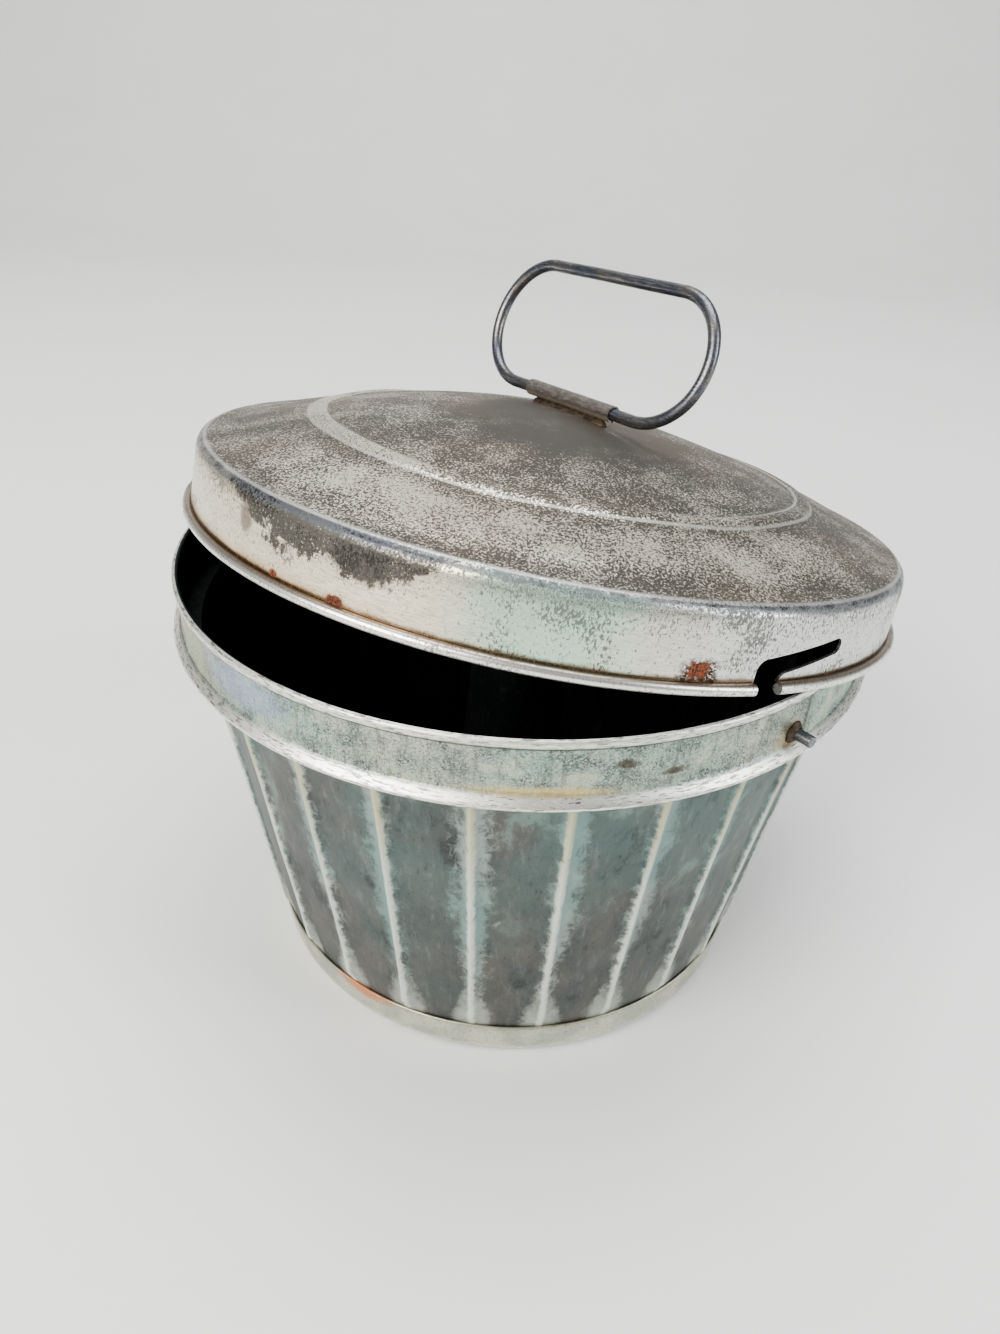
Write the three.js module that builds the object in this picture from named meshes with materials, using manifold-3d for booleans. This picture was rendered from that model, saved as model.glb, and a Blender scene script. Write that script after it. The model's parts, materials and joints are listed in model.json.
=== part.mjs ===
// A lidded tinplate pudding mould: fluted tapering body, collar with two bayonet pins,
// central tube, and a domed lid with L-shaped slots and a folding wire handle.
// The lid stands askew: its wired edge crosses the mouth and its dome leans on the far rim.
// Millimetres, +Z up. The origin is on the table, under the middle of the whole outline.
import * as THREE from 'three';
import { mergeVertices } from 'three/addons/utils/BufferGeometryUtils.js';
import Module from 'manifold-3d';

const wasm = await Module();
wasm.setup();

// Driving dimensions. Bearings are degrees from +X, anticlockwise from above.
const SHEET = 0.7;              // thickness of every sheet piece
const GAP = 0.3;                // air between pieces that are soldered or folded together
const MOUTH_R = 85;             // inside of the rim
const RIM_Z = 115;              // top of the rim above the table
const HEM_OUT = 0.8;            // how far the folded hem stands out from the collar band
const HEM_TALL = 1.9;
const SEAM_Z = 99.2;            // lowest edge of the collar's ledge
const SEAM_R = 87.9;            // outside of the ledge
const LEDGE_TALL = 3.2;         // from the ledge's lowest edge to the band above it
const LIP_R = 85.1;             // inner edge of the lip that hooks under the wall's flange
const FOOT_R = 66.1;            // wall panel radius, run down to the table
const WALL_SLOPE = 0.152;       // how much the wall widens for each millimetre of height
const WALL_FOOT = 3.2;          // lowest edge of the wall, inside the base cap
const FLANGE_R = 86;            // outside of the flange at the wall's top
const RIB_COUNT = 25;
const RIB_STEPS = 6;            // facets from one rib to the next
const RIB_CROWD = 1.8;          // how strongly those facets crowd at the ribs
const RIB_OUT = 1.3;
const RIB_HALF = 1.5;
const RIB_PHASE = -80.9;        // bearing of one rib
const CAP_TALL = 12;            // how far the base cap's flange climbs the wall
const PANEL_Z = 2.2;            // underside of the base cap's raised panel
const FOOT_WIDE = 7;            // from the wall to the inside of the foot ring
const PIN_BEARING = -47.9;
const PIN_Z = 104.6;
const PIN_R = 1.3;
const PIN_END_R = 90.4;         // the pins' free ends, from the pot's axis
const PIN_BEVEL = 0.3;
const FILLET = 0.9;             // height of the solder round each pin
const TUBE_FOOT_R = 17;
const TUBE_TOP_R = 11;
const TUBE_TOP_Z = 100;
const TUBE_FLANGE = 3;
const TUBE_CROWN = 1.6;         // rise of the tube's cap
const LID_EDGE_R = 89.9;        // outside of the wired edge
const EDGE_WIRE_R = 1.25;
const SKIRT_R = 88;             // outside of the skirt
const SKIRT_TAPER = 0.4;        // how much the skirt draws in towards the shoulder
const SKIRT_TALL = 17.7;        // wired edge to shoulder
const SHOULDER_R = 83.4;
const SHOULDER_ROUND = 3.2;
const DOME_TOP = 34.3;          // apex above the wired edge
const DOME_POWER = 1.86;
const RING_R = 60.9;            // raised ring on the dome
const RING_OUT = 0.7;
const RING_HALF = 1.8;
const SLOT_BEARING = -61.6;     // middle of the front slot's mouth, on the lid
const SLOT_WIDE = 6;
const LOOP_BEARING = -50.8;     // the handle's axis, on the lid
const LOOP_STRAIGHT = 44;
const LOOP_R = 15.1;
const LOOP_WIRE_R = 1.45;
const LOOP_LEAN = 13.2;         // the loop's lean away from the lid's own axis, in degrees
const LOOP_SPLIT = 1.2;         // between the wire's two ends, inside the sleeve
const SLEEVE_LONG = 31;
const SLEEVE_BORE = 1.6;        // inside radius of the sleeve, a free fit on the wire
const SLEEVE_R = 2;
const BED_GAP = 0.2;            // above and below the bed of solder
const BED_THIN = 0.3;           // its thickness at the apex
const BED_REACH = 3;            // how far it runs out past each end of the sleeve
const BED_WIDE = 3.2;
const LID_AT = [4.66, 5.57, 112.4];       // middle of the wired edge, from the pot's foot
const LID_AXIS = [0.1383, 0.155, 1];      // the lid's axis, leaning back and to the right
const POT_AT = [-3, -3.3, 0];             // the pot's axis, from the origin
const ROUND = 48;               // facets round the large turned pieces
const ROUND_TUBE = 30;
const ROUND_SMALL = 16;

const DEG = Math.PI / 180;
const UP = new THREE.Vector3(0, 0, 1);

// Finishes
const finish = (color, roughness, metalness) =>
  new THREE.MeshStandardMaterial({ color, roughness, metalness });
const WALL_TIN = finish(0x7d8886, 0.5, 0.8);
const COLLAR_TIN = finish(0xa9b2a6, 0.42, 0.85);
const BASE_TIN = finish(0xb4b3a6, 0.45, 0.85);
const TUBE_TIN = finish(0x74797a, 0.5, 0.85);
const LID_TIN = finish(0xb9b4a4, 0.4, 0.85);
const EDGE_TIN = finish(0xc8c6bd, 0.35, 0.9);
const SOLDER = finish(0x8a8272, 0.55, 0.7);
const STEEL_WIRE = finish(0x5b6068, 0.4, 0.9);

// A turned solid from [radius, height] points; the outline closes on itself.
function turned(outline, facets = ROUND) {
  const points = [...outline, outline[0]].map(([r, z]) => new THREE.Vector2(r, z));
  const geometry = new THREE.LatheGeometry(points, facets);
  geometry.rotateX(Math.PI / 2);
  return outward(geometry);
}

// Turns the faces outwards when the outline ran the other way round.
function outward(geometry) {
  const place = geometry.attributes.position;
  const index = geometry.index.array;
  const [a, b, c] = [new THREE.Vector3(), new THREE.Vector3(), new THREE.Vector3()];
  let volume = 0;
  for (let i = 0; i < index.length; i += 3) {
    a.fromBufferAttribute(place, index[i]);
    b.fromBufferAttribute(place, index[i + 1]);
    c.fromBufferAttribute(place, index[i + 2]);
    volume += a.dot(b.cross(c));
  }
  if (volume < 0) {
    for (let i = 0; i < index.length; i += 3) {
      [index[i], index[i + 1]] = [index[i + 1], index[i]];
    }
  }
  return geometry;
}

function piece(name, geometry, material, parent) {
  const mesh = new THREE.Mesh(geometry, material);
  mesh.name = name;
  parent.add(mesh);
}

// A three.js geometry as a manifold solid, and back.
function toSolid(geometry) {
  const bare = geometry.clone();
  bare.deleteAttribute('normal');
  bare.deleteAttribute('uv');
  const merged = mergeVertices(bare);
  return new wasm.Manifold(new wasm.Mesh({
    numProp: 3,
    vertProperties: new Float32Array(merged.attributes.position.array),
    triVerts: new Uint32Array(merged.index.array),
  }));
}

function toGeometry(solid) {
  const mesh = solid.getMesh();
  const geometry = new THREE.BufferGeometry();
  geometry.setAttribute('position', new THREE.BufferAttribute(mesh.vertProperties, 3));
  geometry.setIndex(new THREE.BufferAttribute(mesh.triVerts, 1));
  geometry.computeVertexNormals();
  return geometry;
}

// An eight-sided bar along a curve, with flat ends.
function bar(curve, radius, steps) {
  const section = new THREE.Shape();
  section.absarc(0, 0, radius, 0, 2 * Math.PI);
  return new THREE.ExtrudeGeometry(section, { steps, curveSegments: 4, extrudePath: curve });
}

const panelR = (z) => FOOT_R + WALL_SLOPE * z;
const capR = (z) => panelR(z) + GAP;

// Body sheet: a cone of shallow panels between narrow ribs that stand out, with the ribs dying
// away above the base cap and under the ledge, and a flange turned out at the top.
function flutedWall(parent) {
  const ribFoot = CAP_TALL + 2 * GAP;
  const ribFull = CAP_TALL + 4;
  const ribTop = SEAM_Z - 6;
  const neck = SEAM_Z - 1.2;
  const flangeZ = SEAM_Z + SHEET + GAP;
  const bend = 0.2;             // the flange's underside dips this far near the wall
  const heights = [WALL_FOOT, ribFoot, ribFull, ribTop];
  const geometry = turned([
    ...[...heights, neck].map((z) => [panelR(z), z]),
    [panelR(neck) + SHEET, flangeZ - bend],
    [FLANGE_R, flangeZ],
    [FLANGE_R, flangeZ + SHEET],
    [panelR(neck) + GAP, flangeZ + SHEET - bend],
    ...[neck + 2 * bend, ...heights.reverse()].map((z) => [panelR(z) - SHEET, z]),
  ], RIB_COUNT * RIB_STEPS);
  raiseRibs(geometry, [ribFoot, ribFull, ribTop, neck]);
  piece('fluted_wall', geometry, WALL_TIN, parent);
}

// Moves a turned sheet's points so that facets crowd at the ribs, and lifts the ribs.
function raiseRibs(geometry, [foot, full, top, end]) {
  const pitch = 2 * Math.PI / RIB_COUNT;
  const place = geometry.attributes.position;
  for (let i = 0; i < place.count; i += 1) {
    const [x, y, z] = [place.getX(i), place.getY(i), place.getZ(i)];
    const turn = Math.atan2(y, x) / pitch;
    const rib = Math.round(turn);
    const across = turn - rib;
    const crowded = Math.sign(across) * (Math.abs(2 * across) ** RIB_CROWD) / 2;
    const bearing = (rib + crowded) * pitch + RIB_PHASE * DEG;
    const r = Math.hypot(x, y);
    const rise = THREE.MathUtils.smoothstep(z, foot, full);
    const fall = 1 - THREE.MathUtils.smoothstep(z, top, end);
    const lift = RIB_OUT * Math.exp(-((crowded * pitch * r / RIB_HALF) ** 2)) * rise * fall;
    place.setXY(i, (r + lift) * Math.cos(bearing), (r + lift) * Math.sin(bearing));
  }
}

// Base cap: raised panel with a hole for the tube, a foot ring, and a flange up the wall.
function basePan(parent) {
  const hole = TUBE_FOOT_R - 2;
  const footIn = capR(0) - FOOT_WIDE;
  const bend = 2.4;             // the panel's step down to the foot ring, and the outer corner
  const corner = capR(0) - 2;
  piece('base_pan', turned([
    [hole, PANEL_Z],
    [footIn - bend, PANEL_Z],
    [footIn, 0],
    [corner, 0],
    [capR(0) - 0.2, SHEET],
    [capR(bend) + SHEET, bend],
    [capR(CAP_TALL) + SHEET, CAP_TALL],
    [capR(CAP_TALL), CAP_TALL],
    [capR(bend), bend + 0.2],
    [capR(bend / 2) - SHEET, bend / 2],
    [corner - 0.2, SHEET],
    [footIn + 0.4, SHEET],
    [footIn - bend + GAP, PANEL_Z + SHEET],
    [hole, PANEL_Z + SHEET],
  ]), BASE_TIN, parent);
}

// Tapering tube in the middle, open below, with its foot turned out on the base, and its cap.
function centreTube(parent) {
  const footZ = PANEL_Z + SHEET + GAP;
  piece('centre_tube', turned([
    [TUBE_FOOT_R + TUBE_FLANGE, footZ],
    [TUBE_FOOT_R + TUBE_FLANGE, footZ + SHEET],
    [TUBE_FOOT_R + SHEET, footZ + SHEET],
    [TUBE_TOP_R, TUBE_TOP_Z],
    [TUBE_TOP_R - SHEET, TUBE_TOP_Z],
    [TUBE_FOOT_R, footZ],
  ], ROUND_TUBE), TUBE_TIN, parent);
  const capZ = TUBE_TOP_Z + GAP;
  piece('tube_cap', turned([
    [0, capZ + TUBE_CROWN],
    [TUBE_TOP_R * 0.6, capZ + TUBE_CROWN * 0.75],
    [TUBE_TOP_R, capZ + TUBE_CROWN * 0.3],
    [TUBE_TOP_R + 0.4, capZ],
    [0, capZ],
  ], ROUND_TUBE), TUBE_TIN, parent);
}

// Collar: band with a folded hem at the mouth, swelling out below into a ledge whose lip
// hooks under the wall's flange.
function collar(parent) {
  const out = MOUTH_R + SHEET;
  const low = SEAM_Z + LEDGE_TALL;
  const hem = out + HEM_OUT;
  const edge = 0.4;             // the hem's rounded edges
  const grip = FLANGE_R + GAP + 0.55;
  piece('collar', turned([
    [MOUTH_R, low + 0.6],
    [MOUTH_R, RIM_Z - edge],
    [MOUTH_R + edge, RIM_Z],
    [hem - edge, RIM_Z],
    [hem, RIM_Z - edge],
    [hem, RIM_Z - HEM_TALL],
    [out, RIM_Z - HEM_TALL - GAP],
    [out, low + 0.5],
    [out + 0.5, low - 0.5],
    [SEAM_R - 0.9, low - 1.4],
    [SEAM_R - 0.1, low - 2.4],
    [SEAM_R, SEAM_Z + 0.6],
    [SEAM_R - 0.5, SEAM_Z],
    [LIP_R, SEAM_Z],
    [LIP_R, SEAM_Z + 0.55],
    [grip, SEAM_Z + 0.65],
    [grip, SEAM_Z + 2],
    [MOUTH_R + 0.6, SEAM_Z + 2.25],
    [MOUTH_R - 0.2, SEAM_Z + 3],
  ]), COLLAR_TIN, parent);
}

// A round pin stands out of the collar, in a small fillet of solder.
function pinAt(bearing, end, parent) {
  const rootR = MOUTH_R + SHEET + GAP;
  const long = PIN_END_R - rootR;
  const bore = PIN_R + GAP;
  const out = new THREE.Vector3(Math.cos(bearing), Math.sin(bearing), 0);
  const spot = new THREE.Group();
  spot.position.copy(out).multiplyScalar(rootR).setZ(PIN_Z);
  spot.quaternion.setFromUnitVectors(UP, out);
  piece(`pin_${end}`, turned([
    [0, 0],
    [PIN_R, 0],
    [PIN_R, long - PIN_BEVEL],
    [PIN_R - PIN_BEVEL, long],
    [0, long],
  ], ROUND_SMALL), STEEL_WIRE, spot);
  piece(`pin_solder_${end}`, turned([
    [bore, 0],
    [bore + FILLET * 0.7, 0],
    [bore + FILLET * 0.5, FILLET * 0.45],
    [bore, FILLET],
  ], ROUND_SMALL), SOLDER, spot);
  parent.add(spot);
}

const domeZ = (r) =>
  SKIRT_TALL + (DOME_TOP - SKIRT_TALL) * (1 - (r / SHOULDER_R) ** DOME_POWER);

// The slot as seen from outside, x along the skirt from the middle of the mouth and y up:
// a mouth through the wired edge, then a channel that climbs to its closed end.
function slotShape() {
  const half = SLOT_WIDE / 2;
  const below = -3;
  const shape = new THREE.Shape();
  shape.moveTo(-half, below);
  shape.lineTo(-half, 4.2);
  shape.quadraticCurveTo(-half, 6.6, -0.6, 7.2);
  shape.lineTo(18.6, 10.6);
  shape.quadraticCurveTo(20.2, 10.2, 19.6, 8.4);
  shape.quadraticCurveTo(19.2, 7.2, 18, 6.8);
  shape.lineTo(6.6, 4.4);
  shape.quadraticCurveTo(3.4, 3.8, half, 1.8);
  shape.lineTo(half, below);
  shape.closePath();
  return shape;
}

// The cutter that sinks a slot through the skirt at a bearing on the lid.
function slotCutter(bearing) {
  const depth = 16;
  const settings = { depth, bevelEnabled: false, curveSegments: 4 };
  const geometry = new THREE.ExtrudeGeometry(slotShape(), settings);
  geometry.rotateX(Math.PI / 2);
  geometry.rotateZ(Math.PI / 2);
  geometry.translate(SKIRT_R - depth / 2, 0, 0);
  geometry.rotateZ(bearing);
  return toSolid(outward(mergeVertices(geometry)));
}

// Lid sheet: skirt, rounded shoulder and dome with its raised ring, cut by two slots.
function lidShell(parent, bearings) {
  const low = 2 * EDGE_WIRE_R + GAP;
  const roundR = SKIRT_R - SKIRT_TAPER - SHOULDER_ROUND;
  const roundZ = SKIRT_TALL - SHOULDER_ROUND;
  const shoulder = [0, 40, 80].map((turn) => [
    roundR + SHOULDER_ROUND * Math.cos(turn * DEG),
    roundZ + SHOULDER_ROUND * Math.sin(turn * DEG),
  ]);
  const ring = [[RING_R + RING_HALF, 0], [RING_R, RING_OUT], [RING_R - RING_HALF, 0]];
  const outer = [SHOULDER_R - 1, 76].map((r) => [r, domeZ(r)]);
  const inner = [48, 34, 20, 8, 0].map((r) => [r, domeZ(r)]);
  const outline = [
    [SKIRT_R, low],
    ...shoulder,
    ...outer,
    ...ring.map(([r, out]) => [r, domeZ(r) + out]),
    ...inner,
    ...[0, 8, 20, 34, 48, 61, 76].map((r) => [r, domeZ(r) - SHEET]),
    [SHOULDER_R - 1.2, SKIRT_TALL - SHEET],
    [SKIRT_R - SKIRT_TAPER - SHEET, roundZ - 0.2],
    [SKIRT_R - SHEET, low],
  ];
  let solid = toSolid(turned(outline));
  for (const bearing of bearings) {
    solid = solid.subtract(slotCutter(bearing));
  }
  piece('lid_shell', toGeometry(solid), LID_TIN, parent);
}

// A level arc about the axis, part of the wired edge.
class EdgeArc extends THREE.Curve {
  constructor(start, sweep) {
    super();
    this.start = start;
    this.sweep = sweep;
  }

  getPoint(t, target = new THREE.Vector3()) {
    const bearing = this.start + t * this.sweep;
    const r = LID_EDGE_R - EDGE_WIRE_R;
    return target.set(r * Math.cos(bearing), r * Math.sin(bearing), EDGE_WIRE_R);
  }
}

// The wired edge below the skirt, in two halves between the slots' mouths.
function edgeWire(parent, bearings) {
  const half = (SLOT_WIDE / 2 + 0.2) / LID_EDGE_R;
  ['a', 'b'].forEach((end, i) => {
    const arc = new EdgeArc(bearings[i] + half, Math.PI - 2 * half);
    piece(`edge_wire_${end}`, bar(arc, EDGE_WIRE_R, 30), EDGE_TIN, parent);
  });
}

const SLEEVE_Z = DOME_TOP + BED_THIN + 2 * BED_GAP + SLEEVE_R;

// The sheet sleeve across the top of the dome.
function handleSleeve(parent) {
  const half = SLEEVE_LONG / 2;
  const spot = new THREE.Group();
  spot.position.z = SLEEVE_Z;
  spot.rotation.y = Math.PI / 2;
  piece('handle_sleeve', turned([
    [SLEEVE_BORE, -half],
    [SLEEVE_R, -half],
    [SLEEVE_R, half],
    [SLEEVE_BORE, half],
  ], ROUND_SMALL), BASE_TIN, spot);
  parent.add(spot);
}

// The bed of solder between the sleeve and the dome.
function sleeveSolder(parent) {
  const half = SLEEVE_LONG / 2;
  const reach = half + BED_REACH;
  const under = (x) => domeZ(Math.abs(x)) + BED_GAP;
  const top = SLEEVE_Z - SLEEVE_R - BED_GAP;
  const bed = new THREE.Shape();
  bed.moveTo(-reach, under(reach) + BED_THIN);
  bed.lineTo(-half, top);
  bed.lineTo(half, top);
  bed.lineTo(reach, under(reach) + BED_THIN);
  for (const x of [reach, 12, 6, 0, -6, -12, -reach]) {
    bed.lineTo(x, under(x));
  }
  bed.closePath();
  const geometry = new THREE.ExtrudeGeometry(bed, { depth: BED_WIDE, bevelEnabled: false });
  geometry.translate(0, 0, -BED_WIDE / 2);
  geometry.rotateX(Math.PI / 2);
  piece('sleeve_solder', geometry, SOLDER, parent);
}

// The oval loop, whose two ends butt inside the sleeve. It is drawn standing straight up.
class Loop extends THREE.Curve {
  getPoint(t, target = new THREE.Vector3()) {
    const half = LOOP_STRAIGHT / 2;
    const first = half - LOOP_SPLIT / 2;
    const bend = Math.PI * LOOP_R;
    const past = t * (2 * first + 2 * bend + LOOP_STRAIGHT) - first;
    if (past < 0) {
      return target.set(half + past, 0, 0);
    }
    if (past < bend) {
      return this.round(past / LOOP_R, 1, target);
    }
    if (past < bend + LOOP_STRAIGHT) {
      return target.set(half - (past - bend), 0, 2 * LOOP_R);
    }
    const last = past - bend - LOOP_STRAIGHT;
    if (last < bend) {
      return this.round(Math.PI - last / LOOP_R, -1, target);
    }
    return target.set(last - bend - half, 0, 0);
  }

  round(turn, side, target) {
    const across = LOOP_STRAIGHT / 2 + LOOP_R * Math.sin(turn);
    return target.set(side * across, 0, LOOP_R * (1 - Math.cos(turn)));
  }
}

function handleWire(parent) {
  const spot = new THREE.Group();
  spot.position.z = SLEEVE_Z;
  spot.rotation.x = -LOOP_LEAN * DEG;
  piece('handle_wire', bar(new Loop(), LOOP_WIRE_R, 44), STEEL_WIRE, spot);
  parent.add(spot);
}

function buildPot() {
  const pot = new THREE.Group();
  pot.position.set(...POT_AT);
  flutedWall(pot);
  basePan(pot);
  centreTube(pot);
  collar(pot);
  pinAt(PIN_BEARING * DEG, 'front', pot);
  pinAt((PIN_BEARING + 180) * DEG, 'back', pot);
  return pot;
}

function buildLid() {
  const lid = new THREE.Group();
  lid.position.set(...LID_AT).add(new THREE.Vector3(...POT_AT));
  lid.quaternion.setFromUnitVectors(UP, new THREE.Vector3(...LID_AXIS).normalize());
  const bearings = [SLOT_BEARING * DEG, (SLOT_BEARING + 180) * DEG];
  lidShell(lid, bearings);
  edgeWire(lid, bearings);
  const handle = new THREE.Group();
  handle.rotation.z = LOOP_BEARING * DEG;
  handleSleeve(handle);
  sleeveSolder(handle);
  handleWire(handle);
  lid.add(handle);
  return lid;
}

const mould = new THREE.Group();
mould.add(buildPot(), buildLid());

export default mould;
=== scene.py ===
import json
import math

import bmesh
import bpy
import numpy as np
from mathutils import Matrix, Vector, noise


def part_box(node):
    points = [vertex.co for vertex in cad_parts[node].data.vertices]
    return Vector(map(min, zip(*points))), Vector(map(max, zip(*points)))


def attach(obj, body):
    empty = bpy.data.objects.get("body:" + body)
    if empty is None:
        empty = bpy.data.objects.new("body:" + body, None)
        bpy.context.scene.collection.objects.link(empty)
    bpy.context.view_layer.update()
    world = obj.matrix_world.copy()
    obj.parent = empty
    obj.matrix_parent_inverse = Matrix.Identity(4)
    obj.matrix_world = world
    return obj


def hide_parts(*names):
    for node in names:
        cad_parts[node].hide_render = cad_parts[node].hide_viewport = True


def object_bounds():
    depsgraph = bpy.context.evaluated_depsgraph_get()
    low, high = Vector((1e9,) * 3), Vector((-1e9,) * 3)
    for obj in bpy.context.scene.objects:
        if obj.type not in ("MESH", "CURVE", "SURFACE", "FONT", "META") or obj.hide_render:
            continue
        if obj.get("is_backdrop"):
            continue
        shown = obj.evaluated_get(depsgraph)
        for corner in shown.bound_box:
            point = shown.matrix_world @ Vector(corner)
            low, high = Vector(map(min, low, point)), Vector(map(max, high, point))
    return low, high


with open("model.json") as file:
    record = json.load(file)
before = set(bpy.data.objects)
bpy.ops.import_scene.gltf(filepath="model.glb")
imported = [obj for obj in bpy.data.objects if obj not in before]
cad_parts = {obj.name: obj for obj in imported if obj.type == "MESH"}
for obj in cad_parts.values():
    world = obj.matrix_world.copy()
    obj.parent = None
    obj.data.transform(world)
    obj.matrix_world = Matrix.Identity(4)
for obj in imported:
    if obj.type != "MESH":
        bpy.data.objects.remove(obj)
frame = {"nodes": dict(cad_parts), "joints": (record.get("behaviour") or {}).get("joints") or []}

# A tinplate pudding mould with its lid set down askew. Sizes are in millimetres, in three frames:
# the pot's (its axis, from the table up), the lid's (its axis, from the wired edge up) and the
# handle's (the hinge, X along the sleeve, Z up the lid's axis). Bearings are degrees from +X.
CAD_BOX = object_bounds()
MM = 0.001
UP = Vector((0, 0, 1))
CREASE = math.radians(35)   # edges bent more than this are drawn sharp

SHEET = 0.7                 # thickness of the sheet
GAP = 0.3                   # between pieces that are folded or soldered together
RIM_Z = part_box("collar")[1].z / MM
SEAM_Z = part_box("collar")[0].z / MM
WALL_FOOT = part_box("fluted_wall")[0].z / MM
CAP_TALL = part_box("base_pan")[1].z / MM
MOUTH_R = 85
SEAM_R = 87.9               # outside of the ledge below the collar
HEM_OUT = 0.8
HEM_TALL = 1.9
FOOT_R = 66.1               # the wall's panels, run down to the table
WALL_SLOPE = 0.152
RIB_COUNT = 25
RIB_OUT = 1.3
RIB_HALF = 1.5
RIB_PHASE = -80.9
RIB_FADE = 6                # below the ledge, where the ribs start to die away
NECK = 1.2                  # below the ledge, where they are gone
LAP_BEARING = -45.6         # where the collar's band laps over itself
PIN_BEARING = -47.9
PIN_Z = 104.6
PIN_R = 1.3
PIN_END_R = 90.4
LEDGE_TALL = 3.2            # from the ledge's lowest edge to the collar's band
PANEL_Z = 2.2               # underside of the base cap's raised panel
FOOT_WIDE = 7               # from the wall to the inside of the foot ring
TUBE_FOOT_R = 17
TUBE_TOP_R = 11
TUBE_TOP_Z = 100
TUBE_FLANGE = 3
LID_EDGE_R = 89.9
EDGE_WIRE_R = 1.25
SKIRT_R = 88.0
SKIRT_TALL = 17.7
SHOULDER_R = 83.4
SHOULDER_ROUND = 3.2
DOME_TOP = 34.3
DOME_POWER = 1.86
RING_R = 60.9
RING_OUT = 0.7
RING_HALF = 1.8
SLOT_BEARING = -61.6
SLOT_WIDE = 6
LOOP_STRAIGHT = 44
LOOP_R = 15.1
LOOP_WIRE_R = 1.45
LOOP_LEAN = 13.2
SLEEVE_LONG = 31
SLEEVE_BORE = 1.6
SLEEVE_R = 2.0

# The camera stands in front and looks at the pot's foot, then turns a little away from it.
EYE_DISTANCE = 313.8
EYE_ELEVATION = 43.9
EYE_PAN = 1.014
EYE_TILT = 11.95
EYE_ROLL = 3.47
LENS = 25.88
FILM_TALL = 36

GRAIN_SPREAD = 0.42         # how far fine noise strays from its middle value


# ---- Frames ----

def pot_frame():
    low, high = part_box("collar")
    return Matrix.Translation(((low.x + high.x) / 2, (low.y + high.y) / 2, 0))


def lid_frame():
    """The wired edge is a ring, so its points' middle and flattest direction give the lid's frame."""
    halves = [frame["nodes"][name].data.vertices for name in ("edge_wire_a", "edge_wire_b")]
    points = np.array([v.co for half in halves for v in half], float)
    middle = points.mean(0)
    axis = Vector(np.linalg.svd(points - middle)[2][2])
    if axis.z < 0:
        axis.negate()
    foot = Vector(middle) - axis * EDGE_WIRE_R * MM
    return Matrix.Translation(foot) @ UP.rotation_difference(axis).to_matrix().to_4x4()


def handle_frame(lid):
    hinge = next(j for j in frame["joints"] if j["name"] == "handle_fold")
    along = Vector(hinge["axis"]).normalized()
    up = lid.to_3x3() @ UP
    turn = Matrix((along, up.cross(along), up)).transposed()
    return Matrix.Translation(hinge["pos_m"]) @ turn.to_4x4()


POT = pot_frame()
LID = lid_frame()
HANDLE = handle_frame(LID)


# ---- Camera, floor and light ----

def set_camera():
    elevation = math.radians(EYE_ELEVATION)
    foot = POT.translation
    away = Vector((0, -math.cos(elevation), math.sin(elevation)))
    camera = bpy.data.objects.new("camera", bpy.data.cameras.new("camera"))
    camera.data.sensor_fit = "VERTICAL"
    camera.data.sensor_height = FILM_TALL
    camera.data.lens = LENS
    camera.data.clip_start = 0.01
    turn = Matrix.Rotation(math.pi / 2 - elevation, 3, "X")
    for angle, axis in ((EYE_PAN, "Y"), (EYE_TILT, "X"), (EYE_ROLL, "Z")):
        turn = turn @ Matrix.Rotation(math.radians(angle), 3, axis)
    camera.matrix_world = Matrix.Translation(foot + away * EYE_DISTANCE * MM) @ turn.to_4x4()
    bpy.context.scene.collection.objects.link(camera)
    bpy.context.scene.camera = camera


def sweep_floor():
    """A pale sheet that lies flat and curves up behind the mould."""
    half = 2.4
    back = 1.1
    bend = 0.7
    profile = [(-2.2, 0)]
    for step in range(17):
        turn = step / 16 * math.pi / 2
        profile.append((back + bend * math.sin(turn), bend * (1 - math.cos(turn))))
    profile.append((back + bend, 2.6))
    points = [(side * half, y, z) for y, z in profile for side in (-1, 1)]
    faces = [(2 * i, 2 * i + 1, 2 * i + 3, 2 * i + 2) for i in range(len(profile) - 1)]
    mesh = bpy.data.meshes.new("floor")
    mesh.from_pydata(points, [], faces)
    mesh.polygons.foreach_set("use_smooth", [True] * len(faces))
    floor = bpy.data.objects.new("floor", mesh)
    bpy.context.scene.collection.objects.link(floor)
    mesh.materials.append(floor_paint())
    floor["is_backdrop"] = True


def area_light(name, at, size, power, colour):
    """A soft box at a point, in metres, facing the mould."""
    light = bpy.data.lights.new(name, "AREA")
    light.shape = "RECTANGLE"
    light.size, light.size_y = size
    light.energy = power
    light.color = colour
    box = bpy.data.objects.new(name, light)
    target = POT.translation + UP * 0.09
    aim = (target - Vector(at)).to_track_quat("-Z", "Y").to_matrix().to_4x4()
    box.matrix_world = Matrix.Translation(at) @ aim
    bpy.context.scene.collection.objects.link(box)


def light_room():
    area_light("window_left", (-1.0, -1.0, 1.0), (1.1, 1.1), 34, (1.0, 0.98, 0.95))
    area_light("window_right", (1.3, -0.5, 0.8), (0.5, 1.2), 12, (0.93, 0.97, 1.0))
    area_light("sky", (0.0, 0.3, 1.9), (1.6, 1.2), 30, (0.97, 0.99, 1.0))
    world = bpy.data.worlds.new("room")
    bpy.context.scene.world = world
    world.use_nodes = True
    background = world.node_tree.nodes["Background"]
    background.inputs["Color"].default_value = (0.80, 0.82, 0.82, 1)
    background.inputs["Strength"].default_value = 0.32
    bpy.context.scene.view_settings.look = "AgX - Medium High Contrast"


# ---- Shader sums ----

def tone(red, green, blue):
    """A paint chip's 0-255 values as the shader's linear colour."""
    return tuple((channel / 255) ** 2.2 for channel in (red, green, blue)) + (1,)


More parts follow.
